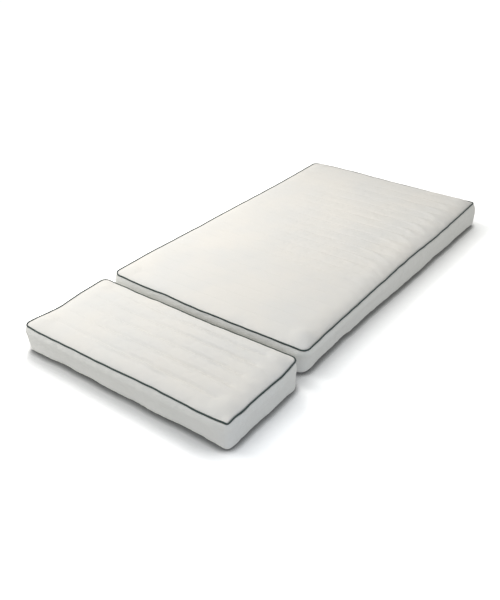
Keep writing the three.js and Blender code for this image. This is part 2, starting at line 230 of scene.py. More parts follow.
def along_values(values, share):
    """A value at a share of the way along evenly spaced ones, joined by a smooth line."""
    last = len(values) - 1
    place = max(0.0, min(share, 1.0)) * last
    index = min(int(place), last - 1)
    rest = place - index
    before, here, after, beyond = (
        values[max(0, min(index + step, last))] for step in (-1, 0, 1, 2)
    )
    bend = 2 * before - 5 * here + 4 * after - beyond + rest * (3 * (here - after) + beyond - before)
    return here + 0.5 * rest * (after - before + rest * bend)


def drift_at(x, y, pattern):
    """A number from about -1 to 1 that wanders smoothly with x and y, in one of many patterns."""
    return noise.noise(Vector((x, y, pattern)))


def edge_reach(radius, into):
    """How far a rounded corner narrows an outline at a distance from its end."""
    rest = max(radius - into, 0.0)
    return radius - math.sqrt(max(radius * radius - rest * rest, 0.0))


def plan_place(name, across, along, edge):
    """A point of a section's plan: a share of the way across from the left, metres along from the near."""
    low, high = outer[name]
    length = high.y - low.y
    end = "near" if along < length / 2 else "far"
    from_end = min(along, length - along)
    narrowings = [edge_reach(radius, from_end) for radius in edge["radii"][end]]
    inset = edge["inset"]
    left = low.x + inset + narrowings[0]
    right = high.x - inset - narrowings[1]
    x = left + (right - left) * across
    y = low.y + inset + (length - 2 * inset) * along / length
    x_share = (x - low.x) / (high.x - low.x)
    y_share = (y - low.y) / length
    # For each side: how far off it is, the share of the way along it, and where its ripples start.
    pulls = {
        "left": (x - left, y_share, y),
        "right": (right - x, y_share, y + 3),
        "near": (y - low.y - inset, x_share, x + 6),
        "far": (high.y - inset - y, x_share, x + 9),
    }
    sway = {}
    for side, (distance, share, run) in pulls.items():
        fade = max(1 - distance / sway_fade, 0.0) ** 2
        ripple = edge["ripple"] * drift_at(run / ripple_pitch, 0, 2.0)
        sway[side] = (along_values(edge["sways"][side], share) * mm + ripple) * fade
    return Vector((x + sway["right"] - sway["left"], y + sway["far"] - sway["near"], 0))


def row_places(name):
    """Distances from the near end of the rows of a section's cloth, one of them on each quilting seam."""
    low, high = outer[name]
    length = high.y - low.y
    start = [
        corner_zone * (1 - math.cos(math.pi / 2 * step / corner_rows)) for step in range(corner_rows)
    ]
    steps = round((channel_pitch - corner_zone) / cloth_step)
    start += [corner_zone + (channel_pitch - corner_zone) * step / steps for step in range(steps)]
    inner = round((length - 2 * channel_pitch) / cloth_step)
    middle = [channel_pitch + cloth_step * step for step in range(inner + 1)]
    return start + middle + [length - place for place in reversed(start)]


def column_count(name):
    """How many squares of cloth lie side by side across a section."""
    low, high = outer[name]
    return round((high.x - low.x) / cloth_step)


def ring_shares(name):
    """Places round a section's edge, anticlockwise from the near left corner, as (across, along)."""
    rows = row_places(name)
    columns = column_count(name)
    near = [(column / columns, rows[0]) for column in range(columns)]
    right = [(1.0, row) for row in rows[:-1]]
    far = [(1 - column / columns, rows[-1]) for column in range(columns)]
    left = [(0.0, row) for row in reversed(rows[1:])]
    return near + right + far + left


seam_edges = {
    name: {
        "inset": seam_inset, "radii": seam_radii[name], "sways": seam_sways[name], "ripple": seam_ripple,
    }
    for name in sections
}
belly_edges = {
    name: {"inset": 0.0, "radii": belly_radii[name], "sways": belly_sways[name], "ripple": 0.0}
    for name in sections
}


def new_piece(name, panel):
    """Makes a smooth-shaded object of a bmesh and links it."""
    mesh = bpy.data.meshes.new(name)
    panel.to_mesh(mesh)
    panel.free()
    mesh.shade_smooth()
    made = bpy.data.objects.new(name, mesh)
    scene.collection.objects.link(made)
    return made


def take_modifiers(piece):
    """Makes what a piece's modifiers show its own mesh."""
    shapes = bpy.context.evaluated_depsgraph_get()
    mesh = bpy.data.meshes.new_from_object(piece.evaluated_get(shapes))
    piece.modifiers.clear()
    piece.data = mesh


def puff(sheets, pressure, spare, bending, reach):
    """Lets sewn cloth fill out between its seams.

    The filling presses on it, it is cut a little too large, and it moves no further than its reach."""
    for sheet in sheets:
        cloth = sheet.modifiers.new("cloth", "CLOTH")
        settings = cloth.settings
        settings.quality = 4
        settings.mass = 0.001
        settings.tension_stiffness = 10
        settings.compression_stiffness = 10
        settings.shear_stiffness = 4
        settings.bending_stiffness = bending
        settings.vertex_group_mass = "sewn"
        settings.use_pressure = True
        settings.uniform_pressure_force = pressure
        settings.shrink_min = -spare
        settings.effector_weights.gravity = 0
        cloth.collision_settings.use_collision = False
    for moment in range(1, settling_frames + 1):
        scene.frame_set(moment)
    shapes = bpy.context.evaluated_depsgraph_get()
    for sheet in sheets:
        settled = [vert.co.copy() for vert in sheet.evaluated_get(shapes).data.vertices]
        sheet.modifiers.clear()
        looseness = sheet.data.attributes["loose"].data
        for vert, place, loose in zip(sheet.data.vertices, settled, looseness):
            step = place - vert.co
            vert.co += step * min(1.0, reach * loose.value / max(step.length, 1e-9))
    scene.frame_set(1)


# Quilted top panels. Each is cotton over wadding, stitched through in channels that run
# across the width and stop short of both sides, so that the panel puffs between the
# seams and puckers beside them. Its edge is sewn in beside the piping.
rim_height = 92 * mm
crown_height = 102 * mm
roll_width = 66 * mm
roll_power = 2.3
quilt_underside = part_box("main_quilted_top")[0].z
# The edge turns down to the piping, most at the main section's right side.
rim_turn = 2.6 * mm
rim_turn_width = 12 * mm
shoulder_turn = {"main": 3.6 * mm, "extension": 0.0}
shoulder_width = 27 * mm
shoulder_scallop = 0.5
seam_wave = 1.3 * mm
tip_lift = 2.5 * mm
tip_reach = 60 * mm
corner_puff = 4.5 * mm
corner_puff_width = 38 * mm
# The stitching's depth, where the wadding is firmest and where it is loosest.
quilt_depths = {"main": (0.15 * mm, 3.2 * mm), "extension": (0.6 * mm, 6.2 * mm)}
depth_drift = 0.45
seam_stop = 53 * mm
seam_stop_drift = 3 * mm
seam_stray = 1.6 * mm
# Where each panel's quilting is loosest: the middle of a rounded patch, and its reach.
loose_patches = {
    "main": (Vector((0.24, 0.16)), Vector((0.44, 0.46))),
    "extension": (Vector((0.17, -0.73)), Vector((0.4, 0.6))),
}
patch_fullness = 1.3
patch_drift = 0.35
firm_share = 0.1
# Between the seams the cloth swells, gathers beside the seams' ends and rises in low ridges.
soft_swell = 2.5 * mm
gather_height = 1.6 * mm
gather_width = 24 * mm
gather_pitch = 24 * mm
gather_slant = 0.5
ridge_height = 1.5 * mm
ridge_pitch = 21 * mm
ridge_length = 130 * mm
ridge_slant = 0.12
# Each seam's crease, and the loose folds on either side of it: the nearer one is the larger.
crease_depths = {"main": 1.4 * mm, "extension": 3.2 * mm}
crease_width = 3 * mm
firm_crease = 0.05
fold_heights = {"main": 4.8 * mm, "extension": 6 * mm}
fold_width = 4.2 * mm
fold_place = 7.5 * mm
far_fold = 0.3
fold_sway = 3 * mm
sway_length = 50 * mm
fold_share = 0.6
fold_drift = 1.4
fold_length = 90 * mm
# Past a place at the right the folds turn towards the near end, and widen as they turn.
fold_bend_start = 170 * mm
fold_bends = {"main": 1.5, "extension": 0.3}
fold_spread = 20 * mm
# How far short of the panel's ends and right side the folds stop, and how far they fade before.
fold_end_stop = 15 * mm
fold_right_stop = 32 * mm
fold_fade = 20 * mm
fold_right_fade = 45 * mm


def held(share):
    """A share kept from 0 to 1."""
    return max(0.0, min(share, 1.0))


def seam_height_at(name, place):
    """How high the top seam lies over its usual height: it waves a little, and the sharp corner stands up."""
    wave = seam_wave * drift_at(place.x * 9, place.y * 9, 3.0)
    if name == "extension":
        low, high = outer[name]
        corner = Vector((high.x, low.y, 0))
        flat = Vector((place.x, place.y, 0))
        wave += tip_lift * max(1 - (flat - corner).length / tip_reach, 0.0) ** 2
    return wave


def quilt_looseness(name, place):
    """How strongly the quilting shows at a place, from 0 to 1: the wadding is firmer towards the left."""
    middle, reach = loose_patches[name]
    away = math.hypot((place.x - middle.x) / reach.x, (place.y - middle.y) / reach.y)
    return held(patch_fullness * (1 - away) + patch_drift * drift_at(place.x * 3, place.y * 3, 17.0))


def quilt_place(name, across, along):
    """A point of the top panel before it puffs, and whether it is sewn down there."""
    low, high = outer[name]
    place = plan_place(name, across, along, seam_edges[name])
    left, right = (plan_place(name, side, along, seam_edges[name]).x for side in (0, 1))
    from_side = min(place.x - left, right - place.x)
    from_end = min(along, high.y - low.y - along)
    from_edge = min(from_side, from_end)
    rolls = [1 - (1 - min(distance / roll_width, 1.0)) ** roll_power for distance in (from_side, from_end)]

    channel = along / channel_pitch
    seam = round(channel)
    to_seam = abs(channel - seam) * 2
    in_end_channel = from_end < channel_pitch / 2
    puffed = 1.0 if in_end_channel else math.sqrt(max(1 - (1 - to_seam) ** 2, 0.0))
    stop = seam_stop + seam_stop_drift * drift_at(seam * 5.3, left * 9, 1.0)
    stitched = held((from_side - stop + cloth_step) / (4 * cloth_step))

    swell = soft_swell * drift_at(place.x * 5, place.y * 7, 6.0)
    crown = (crown_height - rim_height + swell) * rolls[0] * rolls[1]
    lift = seam_height_at(name, place) * max(1 - from_edge / roll_width, 0.0)
    by_side = max(0.0, math.sin(math.pi * min(from_side / (seam_stop + gather_width), 1.0))) * rolls[1]
    slant = place.y + gather_slant * from_side * drift_at(0, place.y * 6, 11.0)
    gather = gather_height * by_side * drift_at(from_side * 9, slant / gather_pitch, 4.0)
    ridge = drift_at(place.x / ridge_length, (place.y + ridge_slant * place.x) / ridge_pitch, 14.0)
    looseness = quilt_looseness(name, place)
    ridge *= ridge_height * looseness * puffed * rolls[0] * rolls[1]
    shallow, deep = quilt_depths[name]
    uneven = 1 + depth_drift * drift_at(place.x * 9, seam * 2.1, 21.0)
    depth = (shallow + (deep - shallow) * looseness) * uneven * stitched * (1 - puffed)
    turn = rim_turn * max(1 - from_edge / rim_turn_width, 0.0) ** 2
    scallop = 1 + shoulder_scallop * drift_at(slant / gather_pitch, 0, 25.0)
    turn += shoulder_turn[name] * max(1 - (right - place.x) / (shoulder_width * scallop), 0.0) ** 1.5
    to_puff = math.hypot(from_side - corner_puff_width, from_end - corner_puff_width) / corner_puff_width
    puff_up = corner_puff * max(1 - to_puff * to_puff, 0.0) ** 2
    height = rim_height + crown + lift + gather + ridge + puff_up - depth - turn

    is_edge = across < 1e-6 or across > 1 - 1e-6 or from_end < 1e-6
    if not is_edge:
        stray = drift_at(place.x * 14, seam * 3.7, 0.0)
        place.y += seam_stray * stray * stitched
    on_seam = to_seam < 0.01 and not in_end_channel and from_side > stop
    return Vector((place.x, place.y, height)), is_edge or on_seam


def quilt_sheet(name):
    """The top panel's cloth before it puffs, with its sewn points in a vertex group."""
    rows = row_places(name)
    sheet = bmesh.new()
    bmesh.ops.create_grid(sheet, x_segments=column_count(name), y_segments=len(rows) - 1, size=0.5)
    share = sheet.verts.layers.float.new("across")
    distance = sheet.verts.layers.float.new("along")
    loose = sheet.verts.layers.float.new("loose")
    sewn = []
    for index, vert in enumerate(sheet.verts):
        along = rows[round((vert.co.y + 0.5) * (len(rows) - 1))]
        vert[share] = vert.co.x + 0.5
        vert[distance] = along
        vert.co, is_sewn = quilt_place(name, vert.co.x + 0.5, along)
        vert[loose] = firm_share + (1 - firm_share) * quilt_looseness(name, vert.co)
        if is_sewn:
            sewn.append(index)
    panel = new_piece(f"{name}_quilted_top_cloth", sheet)
    panel.vertex_groups.new(name="sewn").add(sewn, 1.0, "REPLACE")
    return panel


def crease(name, cloth):
    """Draws each seam's sharp crease into the puffed cloth, and raises the loose folds beside it.

    The folds run on past the seams' right ends and turn towards the near end, where the piping drags them."""
    low, high = outer[name]
    length = high.y - low.y
    width = high.x - low.x
    shares = cloth.data.attributes["across"].data
    distances = cloth.data.attributes["along"].data
    for vert, share, distance in zip(cloth.data.vertices, shares, distances):
        along = distance.value
        left = share.value * width
        right = width - left
        from_end = min(along, length - along)
        looseness = quilt_looseness(name, vert.co)
        bend = fold_bends[name] * max(vert.co.x - fold_bend_start, 0.0) ** 2
        lift = 0.0
        for place, strength in ((fold_place + bend, 1.0), (bend - fold_place, far_fold)):
            seam = round((along + place) / channel_pitch)
            sway = fold_sway * drift_at(vert.co.x / sway_length, seam * 3.3, 5.0)
            off = along + place + sway - seam * channel_pitch
            spread = fold_width * (1 + bend / fold_spread)
            loose = drift_at(vert.co.x / fold_length, seam * 5.7, 31.0 * strength)
            loose = held(fold_share + fold_drift * loose) * looseness
            lift += strength * loose * math.exp(-((off / spread) ** 2))
        inside = held((from_end - fold_end_stop) / fold_fade)
        within = held(min((left - seam_stop) / fold_fade, (right - fold_right_stop) / fold_right_fade))
        vert.co.z += fold_heights[name] * lift * within * inside
        if from_end > channel_pitch / 2:
            beside = along - round(along / channel_pitch) * channel_pitch
            stitched = held((min(left, right) - seam_stop + cloth_step) / (3 * cloth_step))
            depth = crease_depths[name] * (firm_crease + (1 - firm_crease) * looseness) * stitched
            vert.co.z -= depth * math.exp(-((beside / crease_width) ** 2))


def closed_pad(cloth, underside):
    """Closes a puffed cloth with a rim and a flat backing, so that it holds its wadding."""
    pad = bmesh.new()
    pad.from_mesh(cloth.data)
    rim = [edge for edge in pad.edges if edge.is_boundary]
    made = bmesh.ops.extrude_edge_only(pad, edges=rim)["geom"]
    lower = [item for item in made if isinstance(item, bmesh.types.BMVert)]
    for vert in lower:
        vert.co.z = underside
    rim = [edge for edge in pad.edges if edge.is_boundary]
    bmesh.ops.triangle_fill(pad, edges=rim, use_beauty=True)
    bmesh.ops.recalc_face_normals(pad, faces=pad.faces)
    return pad


def new_finish(name):
    """A new material, its node tree and its shader."""
    finish = bpy.data.materials.new(name)
    finish.use_nodes = True
    return finish, finish.node_tree, finish.node_tree.nodes["Principled BSDF"]


def on_piece(tree):
    """Where a point lies on its piece, in metres, for a pattern to follow."""
    return add_node(tree, "ShaderNodeTexCoord").outputs["Object"]


def between(tree, share, colours):
    """A colour between two, at a share of the way."""
    first, second = ((*colour, 1) for colour in colours)
    mix = add_node(tree, "ShaderNodeMix", {"Factor": share, "A": first, "B": second}, data_type="RGBA")
    return mix.outputs["Result"]


def blotches(tree, colours, scale):
    """Two close colours that drift into each other over a surface."""
    drift = add_node(tree, "ShaderNodeTexNoise", {"Vector": on_piece(tree), "Scale": scale, "Detail": 3.0})
    spread = add_node(
        tree, "ShaderNodeMapRange", {"Value": drift.outputs["Fac"], "From Min": 0.35, "From Max": 0.65}
    )
    return between(tree, spread.outputs[0], colours)


def threads(tree, direction, pitch, **inputs):
    """Bands like threads that lie side by side along a direction."""
    metre_scale = 0.314  # a wave texture's scale for bands a metre apart
    wave = add_node(
        tree, "ShaderNodeTexWave", {"Vector": on_piece(tree), "Scale": metre_scale / pitch, **inputs},
        wave_type="BANDS", bands_direction=direction, wave_profile="SIN",
    )
    return wave.outputs["Fac"]


def raised(tree, height, distance, strength=1.0, **inputs):
    """The normals of a surface that a pattern raises."""
    bump = add_node(
        tree, "ShaderNodeBump", {"Height": height, "Distance": distance, "Strength": strength, **inputs}
    )
    return bump.outputs["Normal"]


def cotton_finish(name, colours, thread_pitch, weave_depth, fuzz_depth):
    """Woven cotton: close off-white tones, a plain weave with fuzz, and a soft sheen.

    Its threads cross at right angles on any upright or level face."""
    finish, tree, shader = new_finish(name)
    fuzz = add_node(tree, "ShaderNodeTexNoise", {"Vector": on_piece(tree), "Scale": 900.0, "Detail": 4.0})
    fuzzy = raised(tree, fuzz.outputs["Fac"], fuzz_depth, 0.6)
    along_x, along_y, upright = (
        threads(tree, direction, thread_pitch, Distortion=0.6, Detail=1.0) for direction in ("X", "Y", "Z")
    )
    weave = add_math(tree, "ADD", add_math(tree, "ADD", along_x, along_y), upright)
    set_inputs(tree, shader, {
        "Base Color": blotches(tree, colours, 7.0), "Roughness": 0.92,
        "Sheen Weight": 0.12, "Sheen Roughness": 0.5, "Specular IOR Level": 0.25,
        "Normal": raised(tree, weave, weave_depth, 0.6, Normal=fuzzy),
    })
    return finish


quilt_finish = cotton_finish(
    "quilt_cotton", ((0.855, 0.85, 0.825), (0.895, 0.875, 0.83)), 0.8 * mm, 0.12 * mm, 0.05 * mm
)
quilt_cloths = {name: quilt_sheet(name) for name in sections}
puff(quilt_cloths.values(), pressure=3.5, spare=0.004, bending=0.3, reach=4 * mm)
tops = {}
for name, cloth in quilt_cloths.items():
    finer = cloth.modifiers.new("finer", "SUBSURF")
    finer.levels = finer.render_levels = 1
    take_modifiers(cloth)
    crease(name, cloth)
    top = new_piece(f"{name}_top_panel", closed_pad(cloth, quilt_underside))
    bpy.data.objects.remove(cloth)
    top.data.materials.append(quilt_finish)
    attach(top, f"{name}_section")
    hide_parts(f"{name}_quilted_top")
    tops[name] = top

# Quilting thread. Each channel seam is a row of lockstitches, drawn down into the panel.
stitch_pitch = 3.6 * mm
stitch_size = Vector((2.7 * mm, 0.75 * mm, 0.5 * mm))
above_top = 200 * mm
twist_pitch = 0.5 * mm


def surface_of(piece):
    """A piece's surface, for stitches to be cast onto."""
    mesh = piece.data
    places = [vert.co for vert in mesh.vertices]
    return BVHTree.FromPolygons(places, [face.vertices for face in mesh.polygons])


def join(whole, part):
    """Moves all of one bmesh into another."""
    mesh = bpy.data.meshes.new("part")
    part.to_mesh(mesh)
    part.free()
    whole.from_mesh(mesh)
    bpy.data.meshes.remove(mesh)


def sew(stitches, surface, starts, inwards):
    """Adds a row of stitches where each start, cast inwards, meets the cloth.

    Each stitch points at the next one and lies flat on the cloth."""
    hits = [surface.ray_cast(start, inwards)[:2] for start in starts]
    row = bmesh.new()
    for (place, normal), (following, _) in zip(hits, hits[1:]):
        forward = (following - place).normalized()
        aside = normal.cross(forward).normalized()
        turn = Matrix((forward, aside, forward.cross(aside))).transposed().to_4x4()
        matrix = Matrix.Translation(place) @ turn @ Matrix.Diagonal((*stitch_size, 1))
        bmesh.ops.create_icosphere(row, subdivisions=1, radius=0.5, matrix=matrix)
    join(stitches, row)


def thread_finish():
    """Twisted polyester thread, a little glossy."""
    finish, tree, shader = new_finish("sewing_thread")
    twist = threads(tree, "DIAGONAL", twist_pitch)
    colour = between(tree, twist, ((0.72, 0.71, 0.67), (0.86, 0.85, 0.81)))
    set_inputs(tree, shader, {"Base Color": colour, "Roughness": 0.55})
    return finish


thread = thread_finish()
for name, top in tops.items():
    surface = surface_of(top)
    low, high = outer[name]
    steps = round((high.x - low.x) / stitch_pitch)
    stitches = bmesh.new()
    for seam in range(1, round((high.y - low.y) / channel_pitch)):
        starts = []
        for step in range(1, steps):
            place, is_sewn = quilt_place(name, step / steps, seam * channel_pitch)
            if is_sewn:
                starts.append(Vector((place.x, place.y, above_top)))
        sew(stitches, surface, starts, Vector((0, 0, -1)))
    quilting = new_piece(f"{name}_quilting_thread", stitches)
    quilting.data.materials.append(thread)
    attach(quilting, f"{name}_section")

# Piping. A cord covered in dark green-grey twill cut on the bias is sewn into the top
# seam, all the way round, and stands between the top panel and the border.
bead_radius = 2 * mm
bead_height = 88.6 * mm
bead_reach = 2.2 * mm
left_rise = 1.2 * mm
rib_pitch = 1.19 * mm


def ring_places(name, edge):
    """The places of a line right round a section."""
    return [plan_place(name, across, along, edge) for across, along in ring_shares(name)]


def ring_outward(places):
    """The outward direction at each place of a closed ring, anticlockwise."""
    count = len(places)
    outward = []
    for index in range(count):
        forward = places[(index + 1) % count] - places[index - 1]
        outward.append(Vector((forward.y, -forward.x, 0)).normalized())
    return outward


def bead_places(name):
    """The places of the cord's middle line."""
    places = ring_places(name, seam_edges[name])
    line = []
    for place, outward in zip(places, ring_outward(places)):
        height = bead_height + seam_height_at(name, place) + left_rise * min(outward.x, 0) ** 2
        line.append(place + outward * bead_reach + Vector((0, 0, height)))
    return line


def twill_finish():
    """Dark twill: fine slanting ribs, lighter along their tops."""
    finish, tree, shader = new_finish("piping_twill")
    ribs = threads(tree, "DIAGONAL", rib_pitch, Distortion=0.8)
    set_inputs(tree, shader, {
        "Base Color": between(tree, ribs, ((0.012, 0.026, 0.024), (0.032, 0.056, 0.051))),
        "Roughness": 0.8, "Sheen Weight": 0.1, "Normal": raised(tree, ribs, 0.15 * mm, 0.7),
    })
    return finish


piping_finish = twill_finish()
beads = {name: bead_places(name) for name in sections}
for name in sections:
    line = bpy.data.curves.new(f"{name}_piping_line", "CURVE")
    line.dimensions = "3D"
    line.bevel_depth = bead_radius
    line.bevel_resolution = 2
    cord = line.splines.new("POLY")
    cord.points.add(len(beads[name]) - 1)
    for point, place in zip(cord.points, beads[name]):
        point.co = (*place, 1)
    cord.use_cyclic_u = True
    rope = bpy.data.objects.new(f"{name}_piping_cord", line)
    scene.collection.objects.link(rope)
    shapes = bpy.context.evaluated_depsgraph_get()
    tube = bmesh.new()
    tube.from_mesh(bpy.data.meshes.new_from_object(rope.evaluated_get(shapes)))
    bpy.data.objects.remove(rope)
    bmesh.ops.remove_doubles(tube, verts=tube.verts, dist=0.01 * mm)
    bmesh.ops.recalc_face_normals(tube, faces=tube.faces)
    piping = new_piece(f"{name}_piping_bead", tube)
    piping.data.materials.append(piping_finish)
    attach(piping, f"{name}_section")
    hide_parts(f"{name}_piping")

# Side borders. A plain padded cotton strip runs round each section, gathered a little
# under the piping and tucked under at the floor, with a slot for the zip in its left side.
zip_slot = {"low": 28 * mm, "high": 48 * mm}
slot_overlength = 3.6 * mm
slot_side = 5 * mm
border_wall = 3.9 * mm
border_swell = 2.2 * mm
# The border's foot waves in and out along the floor, and lifts a little off it.
bottom_wave = 4.5 * mm
bottom_lift = 1.5 * mm
bottom_zone = 24 * mm
base_corner_radius = 13 * mm
hem_gap = 0.3 * mm
floor_clearance = 0.2 * mm
# How round the border turns under at the floor, towards each side of a section.
tuck_radii = {
    "main": {"near": 18 * mm, "right": 19 * mm, "far": 14 * mm, "left": 9 * mm},
    "extension": {"near": 11 * mm, "right": 12 * mm, "far": 14 * mm, "left": 6 * mm},
}
# Each row of the border: its height in millimetres, how far it follows the seam's line, and
# its reach out in millimetres.
border_rows = tuple(
    (height * mm, follow, reach * mm)
    for height, follow, reach in (
        (86.4, 1.0, 1.6), (83.0, 0.96, 4.2), (78.5, 0.85, 6.4), (73.0, 0.68, 7.0), (67.0, 0.48, 6.2),
        (61.0, 0.28, 4.8), (54.5, 0.12, 3.4), (48.0, 0.0, 2.2), (41.5, 0.0, 1.4), (35.0, 0.0, 0.8),
        (28.0, 0.0, 0.4), (21.5, 0.0, 0.0), (15.5, 0.0, 0.0), (10.0, 0.0, 0.0), (5.6, 0.0, 0.0),
        (2.4, 0.0, 0.0), (0.7, 0.0, 0.0), (0.3, 0.0, 0.0),
    )
)
left_bulge = 0.35
sewn_rows = (0, len(border_rows) - 3, len(border_rows) - 2, len(border_rows) - 1)
# The ends that face each other: the main section's is full, with a hump, and the extension's
# is drawn in, so that the two can butt together.
facing_ends = {
    "main": {"way": -1, "bulge": 1.0, "hump": 2.5 * mm, "loose": 0.4},
    "extension": {"way": 1, "bulge": -0.5, "hump": 0.0, "loose": 0.1},
}
hump_height = 58 * mm
hump_reach = 26 * mm
# Where the border looks left and the zip is near, it lies flat: so far past the slot's ends,
# and so far above and below it.
looks_left = 0.9
flat_round_zip = 20 * mm
flat_above_zip = 12 * mm
slot_lip = 1 * mm


def tuck_reach(name, outward, height):
    """How far a border turns in at a height, on the side that faces outward."""
    radii = tuck_radii[name]
    radius = (
        radii["right"] * max(outward.x, 0) ** 2 + radii["left"] * min(outward.x, 0) ** 2
        + radii["far"] * max(outward.y, 0) ** 2 + radii["near"] * min(outward.y, 0) ** 2
    )
    return -edge_reach(radius, height)


def hem_place(name, outside):
    """Where the hem meets the base panel's edge, inwards from a point outside it."""
    low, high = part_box(f"{name}_base_panel")
    inner = Vector((
        max(low.x + base_corner_radius, min(outside.x, high.x - base_corner_radius)),
        max(low.y + base_corner_radius, min(outside.y, high.y - base_corner_radius)), 0,
    ))
    return inner + (outside - inner).normalized() * (base_corner_radius + hem_gap)


def zip_half_length(name):
    """Half the length of the slot for a section's zip."""
    low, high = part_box(f"{name}_zip_chain")
    return (high.y - low.y) / 2 + slot_overlength


bellies = {name: ring_places(name, belly_edges[name]) for name in sections}
belly_outward = {name: ring_outward(bellies[name]) for name in sections}


def facing(name, index):
    """How squarely the border faces the other section at a place of the ring, from 0 to 1."""
    return max(facing_ends[name]["way"] * belly_outward[name][index].y, 0) ** 2


def by_zip(name, index):
    """Whether the border has the zip's slot in it at a place of the ring, or lies flat beside it."""
    low, high = outer[name]
    from_middle = abs(bellies[name][index].y - ((low + high) / 2).y)
    if belly_outward[name][index].x > -looks_left:
        return False
    return from_middle < zip_half_length(name) + flat_round_zip


def border_place(name, index, row):
    """A point of the border before it puffs, at a place of the ring and in one of the rows."""
    height, follow, reach = border_rows[row]
    belly = bellies[name][index]
    outward = belly_outward[name][index]
    bead = beads[name][index]
    facing_end = facing_ends[name]
    towards = facing(name, index)
    seam = Vector((bead.x, bead.y, 0))
    reach *= 1 - (1 - left_bulge) * min(outward.x, 0) ** 2 - (1 - facing_end["bulge"]) * towards
    hump = max(1 - ((height - hump_height) / hump_reach) ** 2, 0.0)
    reach += facing_end["hump"] * hump * towards + tuck_reach(name, outward, height)
    flat = belly.lerp(seam, follow) + outward * reach
    low_share = max(1 - height / bottom_zone, 0.0)
    wave = drift_at(belly.x * 12, belly.y * 12, 8.0)
    swell = drift_at(belly.x * 7 + 3, belly.y * 7, height * 8) * (1 - towards)
    if not by_zip(name, index):
        flat += outward * (border_swell * swell * (1 - follow) + bottom_wave * wave * low_share)
    elif zip_slot["low"] - flat_above_zip < height < zip_slot["high"] + slot_lip:
        flat.x = outer[name][0].x
    if row == len(border_rows) - 1:
        flat = hem_place(name, belly)
    height += (bead.z - bead_height) * follow
    return Vector((flat.x, flat.y, height + max(wave, 0.0) * bottom_lift * low_share))


def in_zip_slot(name, face):
    """Whether a face of the border lies where the slot is cut."""
    low, high = outer[name]
    centre = face.calc_center_median()
    if not zip_slot["low"] < centre.z < zip_slot["high"] or centre.x > low.x + slot_side:
        return False
    return abs(centre.y - ((low + high) / 2).y) < zip_half_length(name)


def border_sheet(name):
    """The border's cloth before it puffs, with its sewn points in a vertex group."""
    sheet = bmesh.new()
    ring = sheet.verts.layers.int.new("ring")
    level = sheet.verts.layers.int.new("level")
    loose = sheet.verts.layers.float.new("loose")
    count = len(beads[name])
    above = []
    for row in range(len(border_rows)):
        below = [sheet.verts.new(border_place(name, index, row)) for index in range(count)]
        for index, vert in enumerate(below):
            vert[ring] = index
            vert[level] = row
        for index in range(count if above else 0):
            ahead = (index + 1) % count
            sheet.faces.new((above[ahead], above[index], below[index], below[ahead]))
        above = below
    slot_faces = [face for face in sheet.faces if in_zip_slot(name, face)]
    bmesh.ops.delete(sheet, geom=slot_faces, context="FACES")
    bmesh.ops.recalc_face_normals(sheet, faces=sheet.faces)
    sheet.verts.index_update()
    for vert in sheet.verts:
        beside_zip = by_zip(name, vert[ring]) and vert.co.z < zip_slot["high"] + flat_above_zip
        looseness = 1 - (1 - facing_ends[name]["loose"]) * facing(name, vert[ring])
        vert[loose] = 0.0 if beside_zip else looseness
    sewn = [
        vert.index for vert in sheet.verts
        if vert[level] in sewn_rows or any(edge.is_boundary for edge in vert.link_edges)
    ]
    border = new_piece(f"{name}_border_strip", sheet)
    border.vertex_groups.new(name="sewn").add(sewn, 1.0, "REPLACE")
    return border


border_finish = cotton_finish(
    "border_cotton", ((0.845, 0.845, 0.805), (0.865, 0.86, 0.825)), 0.7 * mm, 0.08 * mm, 0.04 * mm
)
borders = {name: border_sheet(name) for name in sections}
puff(borders.values(), pressure=5, spare=0.012, bending=0.15, reach=4 * mm)
for name, border in borders.items():
    finer = border.modifiers.new("finer", "SUBSURF")
    finer.levels = finer.render_levels = 1
    wall = border.modifiers.new("wall", "SOLIDIFY")
    wall.thickness = border_wall
    wall.offset = -1
    take_modifiers(border)
    for vert in border.data.vertices:
        vert.co.z = max(vert.co.z, floor_clearance)
    border.data.shade_smooth()
    border.data.materials.append(border_finish)
    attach(border, f"{name}_section")
    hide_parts(f"{name}_side_border")

# Zips. A nylon coil zip closes each cover behind a slot in the border's left side. Its two
# ribbed tapes are sewn behind the slot, the coil is sewn along the tapes' edges, and a
# crimped metal stop ends it at either end.
tape_ribs = 6
tape_rib_depth = 0.35 * mm
tooth_pitch = 2 * mm
tooth_size = Vector((1.5 * mm, 1.5 * mm, 5.0 * mm))
tooth_stagger = 0.4 * mm
tooth_edge = 0.4 * mm
coil_back_depth = 1.3 * mm
topstitch_gap = 3 * mm
left_of_border = 50 * mm
# The angles from which a metal part's corners are rounded, and from which they show sharp.
metal_corner = math.radians(25)
metal_shading = math.radians(40)
weld_distance = 0.005 * mm


def ribbed_tape(name, node):
    """A woven tape, as thick as its CAD node, with ribs along its front face."""
    low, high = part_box(f"{name}_{node}")
    tape = bmesh.new()
    bmesh.ops.create_grid(tape, x_segments=1, y_segments=tape_ribs * 4, size=0.5)
    for vert in tape.verts:
        rib = 0.5 - 0.5 * math.cos(2 * math.pi * tape_ribs * (vert.co.y + 0.5))
        y = low.y + (high.y - low.y) * (0.5 - vert.co.x)
        z = low.z + (high.z - low.z) * (vert.co.y + 0.5)
        vert.co = (low.x + tape_rib_depth * (1 - rib), y, z)
    bmesh.ops.solidify(tape, geom=tape.faces[:], thickness=high.x - low.x - tape_rib_depth)
    bmesh.ops.recalc_face_normals(tape, faces=tape.faces)
    return new_piece(f"{name}_{node}_woven", tape)


def add_block(shape, middle, size):
    """Adds a box to a bmesh."""
    bmesh.ops.create_cube(shape, size=1.0, matrix=Matrix.Translation(middle) @ Matrix.Diagonal((*size, 1)))


